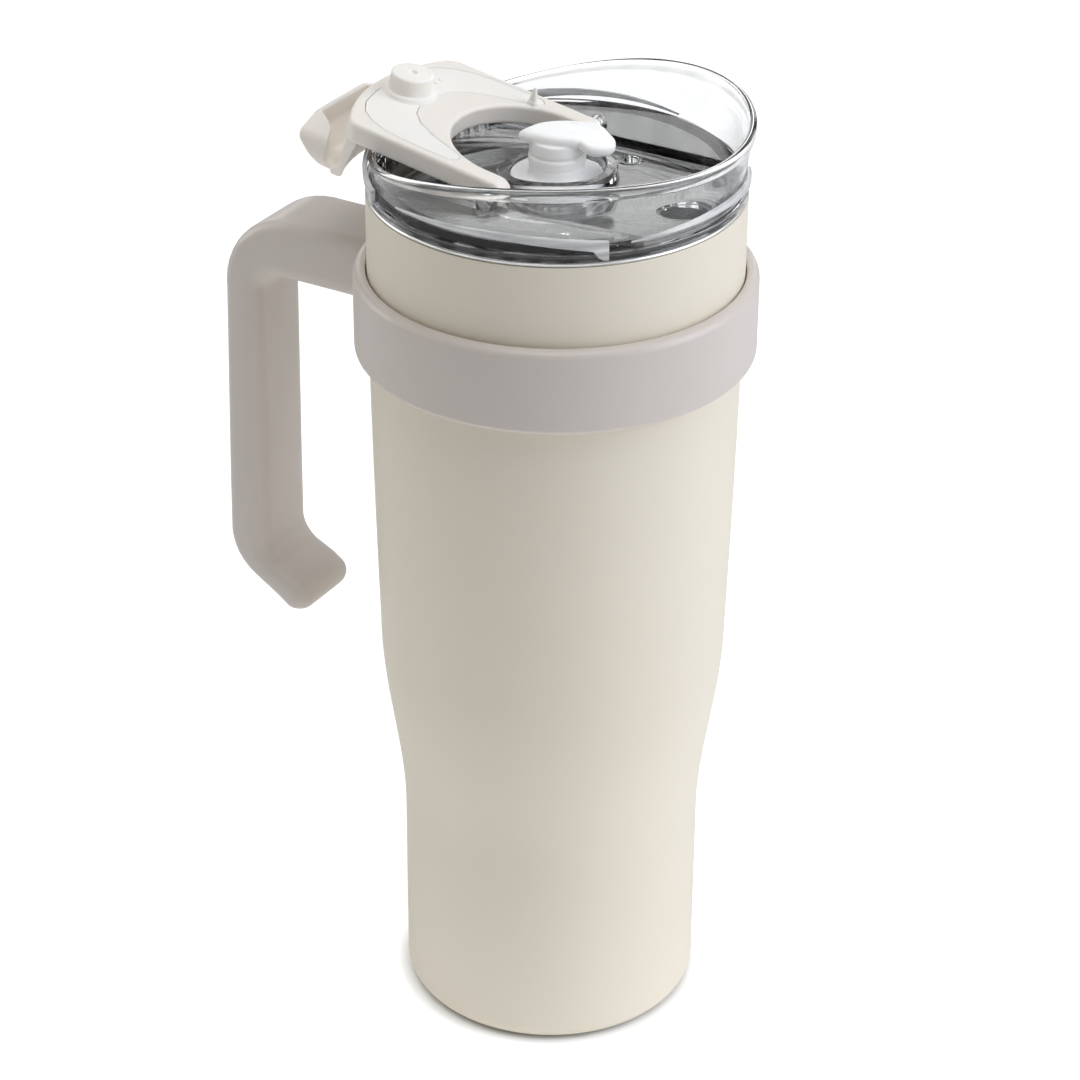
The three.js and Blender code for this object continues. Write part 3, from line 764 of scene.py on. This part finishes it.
def vent_ring():
    """The low ring round the vent's hole."""
    ring = turned("vent_ring", [
        [VENT_RING_INNER, DECK_TOP - 0.5], [VENT_RING_OUTER, DECK_TOP - 0.5],
        [VENT_RING_OUTER, VENT_RING_TOP, 0.2], [VENT_RING_INNER, VENT_RING_TOP, 0.2],
    ], 40, 3)
    return moved(ring, Matrix.Translation((*VENT, 0)))


def build_gasket():
    """The black ring. Its top is pressed a little into the clear groove, so that it shows through it."""
    inner, fin = SKIRT_OUTER + 0.1, 47.2
    low = SKIRT_BOTTOM + 1.4
    gasket = turned("lid_gasket_ring", [
        [inner, low], [45.2, low, 0.4], [45.2, -4.8], [fin, -4.3, 0.2], [fin, -3.7, 0.2], [45.4, -3.2],
        [45.4, -1.8], [fin, -1.2, 0.2], [fin, -0.4, 0.2], [46.6, -0.2, 0.2],
        [46.9, 0.3], [46.9, GROOVE_ROOF + 0.05], [inner, GROOVE_ROOF + 0.05],
    ], fine=4)
    for middle in (-80, 80):
        join(gasket, gasket_tongue(middle))
    place(gasket, "lid", ["lid_gasket"], BLACK, RIM_Z)


def gasket_tongue(middle):
    """The raised part of the black ring that is moulded into the thick edge of a shelf."""
    half, inner, outer = 34.0, 44.6, 46.7
    loops = []
    for share in np.linspace(-1, 1, 36):
        turn = math.radians(middle + half * share)
        top = GROOVE_ROOF + 0.1 + 2.4 * smoothstep(1 - abs(share), 0, 0.25)
        section = [[inner, 0.5], [outer, 0.5], [outer, top], [inner, top]]
        loops.append(np.array([[r * math.cos(turn), r * math.sin(turn), z] for r, z in section]))
    return loft("tongue", loops)


def build_pins():
    for side, node in ((1, "hinge_pin_left"), (-1, "hinge_pin_right")):
        low, high = sorted((side * 21.5, side * (CHANNEL_HALF_WIDTH + LUG_WIDTH - 0.4)))
        pin = at_hinge(along_y(rod(node, PIN_RADIUS, low, high, 0.25, 32)))
        pin.name = f"{node}_steel"
        place(pin, "lid", [node], STEEL, RIM_Z)


# ---------------------------------------------------------------- flap

FLAP_LOW = 2.24
FLAP_HIGH = 7.9
FLAP_HALF_WIDTH = 25.4
FLAP_END = 46.2
FLAP_CUT = 20.0
SEAL_DEPTH = 1.6


def bezier(start, *curves, steps=10):
    """Points of an outline of cubic curves. Each curve has two handles and an end."""
    points, here = [], np.array(start, float)
    for a, b, end in curves:
        a, b, end = (np.array(p, float) for p in (a, b, end))
        for t in np.linspace(0, 1, steps, endpoint=False):
            s = 1 - t
            points.append(s ** 3 * here + 3 * s * s * t * a + 3 * s * t * t * b + t ** 3 * end)
        here = end
    return np.array(points)


def flap_outline():
    corner = math.degrees(math.asin(23.5 / FLAP_END))
    side = FLAP_HALF_WIDTH
    end = arc(FLAP_END, -corner, corner, 24)
    bay = arc(FLAP_CUT, 90, -90, 40)
    return rounded([
        [HINGE_X, -side], [37.5, -side, 3], *end, [37.5, side, 3], [HINGE_X, side],
        [HINGE_X, FLAP_CUT], *bay, [HINGE_X, -FLAP_CUT],
    ], 4)


def seal_outline():
    """The V of the seal: a wide crown round the spout boss and an arm along each side of the cut."""
    half = [
        (43.2, 0), (42.9, 6), (41.6, 13), (38.8, 17.6), (35.0, 20.4), (30.5, 22.2), (25.0, 23.1),
        (17.0, 23.4), (9.8, 23.2), (7.6, 21.6), (8.6, 19.2), (12.5, 17.8), (19.0, 15.4), (25.2, 12.0),
        (28.9, 8.2), (30.4, 4.2), (30.8, 0),
    ]
    corners = half + [(x, -y) for x, y in half[-2:0:-1]]
    return rounded([[x, y, 1.6] for x, y in corners], 3)


def thumb_hook():
    """The leg inside the lid's wall, the crest over it and the lip outside, thicker near its ends."""
    hook = turned("hook", [
        [43.0, 3.2], [46.1, 3.2], [46.2, 8], [47.4, 19.0], [49.6, 21.0], [49.6, 23.4],
        [46.6, 23.6, 2], [45.2, 17, 2], [43.4, 9, 2],
    ], 240, 3)
    lip = slab("lip", rounded([
        [42, 20.6], [50.4, 20.6, 1.5], [55.0, 16, 2], [55.5, 11.2, 0.6], [57.0, 11.2, 0.7],
        [56.7, 16.8, 3], [50.2, 23.5, 2], [42, 23.5]]), -19, 19)
    moved(lip, Matrix.Rotation(math.pi / 2, 4, "X"))
    join(lip, *(end_web(side) for side in (-1, 1)))
    outside = turned("outside", [[46.8, 0], [62, 0], [62, 30], [46.8, 30]])
    lip_front = [
        [-10, 11], [10, 11], [18.8, 14.6, 3], [18.8, 24.5, 6], [-18.8, 24.5, 6], [-18.8, 14.6, 3]]
    leg_front = [
        [-24.2, 0], [24.2, 0], [24.2, 9, 2], [18.8, 24.5, 6], [-18.8, 24.5, 6], [-24.2, 9, 2]]
    common(lip, outside, standing_plate(lip_front))
    common(hook, standing_plate(leg_front))
    return join(hook, lip)


def standing_plate(corners):
    """A thick plate of an outline drawn in the YZ plane, standing across the flap's front."""
    plate = slab("plate", rounded(corners), 20, 62)
    return moved(plate, Matrix(((0, 0, 1, 0), (1, 0, 0, 0), (0, 1, 0, 0), (0, 0, 0, 1))))


def end_web(side):
    """Fills the fold behind the lip near one of its ends, clear of the lid's edge."""
    loops = []
    for y, near in ((10.5, 55.5), (12.5, 52.0), (14.5, 49.6), (19, 48.0)):
        loops.append(np.array([
            [near, side * y, 21.5], [near, side * y, 10.6], [56.2, side * y, 11.5], [56.2, side * y, 17.0]]))
    return loft("web", loops)


def build_flap():
    flap = slab("flap_body", flap_outline(), FLAP_LOW, FLAP_HIGH, 0.9, 4)
    join(flap, thumb_hook())
    barrel = HINGE_HEIGHT - FLAP_LOW
    for side in (-1, 1):
        low, high = sorted((side * (FLAP_CUT + 0.3), side * FLAP_HALF_WIDTH))
        join(flap, at_hinge(along_y(rod("knuckle", barrel, low, high, 0.6, 40))))
    soften(flap, 0.33, 6)
    for side in (-1, 1):
        low, high = sorted((side * 21.2, side * 28))
        cut(flap, at_hinge(along_y(drill(PIN_HOLE, low, high))))
    cut(flap, slab("pocket", seal_outline(), FLAP_LOW - 2, FLAP_LOW + SEAL_DEPTH))
    moved(flap, flap_open())
    flap.name = "flap_shell"
    place(flap, "flap", ["flap"], FLAP, RIM_Z)


def build_seal():
    outline = inset(anticlockwise(seal_outline()), 0.16)
    seal = slab("spout_seal_insert", outline, FLAP_LOW - 0.05, FLAP_LOW + SEAL_DEPTH - 0.2, 0.18, 3)
    tip = -3.6
    boss = turned("boss", [
        [0, tip + 0.7], [0.9, tip + 0.7, 0.3], [1.2, tip, 0.3], [5.5, tip, 0.7], [5.75, 0.9, 0.3],
        [6.6, 1.15, 0.4], [6.9, FLAP_LOW - 0.4, 0.5], [7.6, FLAP_LOW + 0.3], [0, FLAP_LOW + 0.3],
    ], 96, 5)
    cone = turned("cone", [
        [0, -2.3], [0.35, -2.3, 0.25], [0.75, -0.6, 0.5], [1.2, 1.2, 0.3], [1.5, 1.7, 0.3],
        [1.7, FLAP_LOW + 0.3], [0, FLAP_LOW + 0.3],
    ], 48, 4)
    join(seal, moved(boss, Matrix.Translation((SPOUT_X, 0, 0))))
    join(seal, moved(cone, Matrix.Translation((*VENT, 0))))
    # Two small moulded dots beside the boss.
    for y in (9.5, 12.0):
        mark = turned("mark", [[0, 1.9], [0.55, 1.9, 0.2], [0.55, 2.4], [0, 2.4]], 24, 3)
        join(seal, moved(mark, Matrix.Translation((SPOUT_X - 2.0, y, 0))))
    moved(seal, flap_open())
    place(seal, "flap", ["spout_seal"], SEAL, RIM_Z)


# ---------------------------------------------------------------- straw plug

CAP_TURN = math.radians(30)


def build_plug():
    floor = DECK_TOP + 0.3
    plug = turned("straw_plug_body", [
        [0, -6], [4.6, -6, 0.8], [5.2, -1, 0.5], [5.2, floor, 0.2], [COLLAR_INNER - 0.3, floor, 0.3],
        [COLLAR_INNER - 0.3, 3.3, 0.4], [7.6, 3.3, 0.3], [7.2, 3.9, 0.3], [7.2, 5.7, 0.3], [6.7, 6.1, 0.2],
        [7.4, 6.6, 0.3], [7.4, 8.5, 0.3], [6.7, 9.0, 0.2], [7.2, 9.5, 0.4], [6.9, 12.6], [0, 12.6],
    ], 96, 4)
    leaf = bezier(
        (-9.9, 0), ((-5.5, 5.6), (1, 7.2), (5.5, 5.6)), ((11, 5.6), (14.8, 2), (14.8, -3)),
        ((14.8, -8.4), (9, -9), (5.5, -6.2)), ((1, -7.2), (-5.5, -5.6), (-9.9, 0)))
    cap = slab("cap", leaf, 12.0, 15.3, 1.4, 6)
    # The tab at one end of the cap droops, and so does the other end a little.
    for vertex in cap.data.vertices:
        x, y, z = vertex.co
        lobe = smoothstep(x - y * 0.6, 7.5, 13.5)
        vertex.co.z = z - 1.7 * lobe - 0.5 * smoothstep(-x, 4, 10)
    moved(cap, Matrix.Rotation(CAP_TURN, 4, "Z"))
    join(plug, cap)
    soften(plug, 0.24, 3)
    plug.name = "straw_plug_soft"
    place(plug, "plug", ["straw_plug"], WHITE, RIM_Z)


# ---------------------------------------------------------------- hidden pieces, floor, light, camera

def finish_hidden_nodes():
    """The sealed pieces keep their CAD shapes and get real materials."""
    for node, material in (("foil_wrap", foil()), ("vacuum_base", STEEL), ("vacuum_seal", seal_glass()),
                           ("getter", STEEL)):
        for holder in frame["nodes"][node].material_slots:
            holder.material = material


def build_floor():
    half = 4.0
    corners = [(-half, -half, 0), (half, -half, 0), (half, half, 0), (-half, half, 0)]
    mesh = bpy.data.meshes.new("floor")
    mesh.from_pydata(corners, [], [(0, 1, 2, 3)])
    floor = new_object("floor", mesh)
    mesh.materials.append(floor_white())


# The camera stands on the -Y side, turned towards the spout. Lengths are in metres, the lens in mm.
CAMERA_TURN = math.radians(30)
CAMERA_AWAY = 0.76709
CAMERA_UP = 0.5759
CAMERA_PITCH = 0.51777
CAMERA_YAW = -0.0048
CAMERA_ROLL = 0.0070
CAMERA_LENS = 108.53


def build_camera():
    data = bpy.data.cameras.new("camera")
    data.lens = CAMERA_LENS
    data.sensor_width = 36.0
    data.clip_start = 0.05
    data.clip_end = 20.0
    camera = bpy.data.objects.new("camera", data)
    bpy.context.scene.collection.objects.link(camera)
    tilt = Matrix.Rotation(math.pi / 2 - CAMERA_PITCH, 4, "X")
    roll = Matrix.Rotation(CAMERA_ROLL, 4, "Z")
    spin = Matrix.Rotation(-CAMERA_YAW, 4, "Z")
    away = Matrix.Translation((0, -CAMERA_AWAY, CAMERA_UP))
    camera.matrix_world = Matrix.Rotation(CAMERA_TURN, 4, "Z") @ away @ spin @ tilt @ roll
    bpy.context.scene.camera = camera


def softbox(name, turn, rise, distance, size, power, colour=(1, 1, 1)):
    """An area light aimed at the cup, turned from the camera's side and raised by degrees."""
    data = bpy.data.lights.new(name, "AREA")
    data.shape = "RECTANGLE"
    data.size, data.size_y = size
    data.energy = power
    data.color = colour
    light = bpy.data.objects.new(name, data)
    bpy.context.scene.collection.objects.link(light)
    heading = math.radians(turn - 90) + CAMERA_TURN
    lift = math.radians(rise)
    target = Vector((0, 0, RIM_Z * MM * 0.55))
    spot = target + distance * Vector((
        math.cos(heading) * math.cos(lift), math.sin(heading) * math.cos(lift), math.sin(lift)))
    aim = (spot - target).to_track_quat("Z", "Y").to_matrix().to_4x4()
    light.matrix_world = Matrix.Translation(spot) @ aim


def build_world():
    """A plain white backdrop that mirrors and refracts with darker bands, and gives little soft light."""
    world = bpy.data.worlds.new("studio")
    world.use_nodes = True
    tree = world.node_tree
    back = tree.nodes["Background"]
    back.inputs["Color"].default_value = (1, 1, 1, 1)
    where = tree.nodes.new("ShaderNodeTexCoord").outputs["Generated"]
    bands = tree.nodes.new("ShaderNodeTexWave")
    bands.inputs["Scale"].default_value = 1.1
    bands.inputs["Distortion"].default_value = 2.5
    tree.links.new(where, bands.inputs["Vector"])
    bright = tree.nodes.new("ShaderNodeMapRange")
    bright.inputs["From Min"].default_value = 0.35
    bright.inputs["From Max"].default_value = 0.65
    bright.inputs["To Min"].default_value = 0.2
    bright.inputs["To Max"].default_value = 1.7
    tree.links.new(bands.outputs["Fac"], bright.inputs["Value"])
    path = tree.nodes.new("ShaderNodeLightPath")
    strength = bright.outputs["Result"]
    for ray, fixed in (("Is Diffuse Ray", 0.1), ("Is Camera Ray", 1.0)):
        mix = tree.nodes.new("ShaderNodeMix")
        mix.inputs["B"].default_value = fixed
        tree.links.new(path.outputs[ray], mix.inputs["Factor"])
        tree.links.new(strength, mix.inputs["A"])
        strength = mix.outputs["Result"]
    tree.links.new(strength, back.inputs["Strength"])
    bpy.context.scene.world = world


def build_light():
    softbox("key", 80, 27, 1.3, (0.9, 1.2), 9.9, (0.97, 1.01, 1.10))
    softbox("top", 20, 84, 1.3, (1.0, 1.0), 7.4)
    softbox("left", -108, 22, 1.4, (0.5, 1.1), 3.0, (1.0, 0.98, 0.95))
    build_world()
    bpy.context.scene.view_settings.view_transform = "Standard"


build_camera()
build_shell()
build_liner()
build_base()
build_handle()
build_lid()
build_lid_ribs()
build_gasket()
build_pins()
build_flap()
build_seal()
build_plug()
finish_hidden_nodes()
build_floor()
build_light()
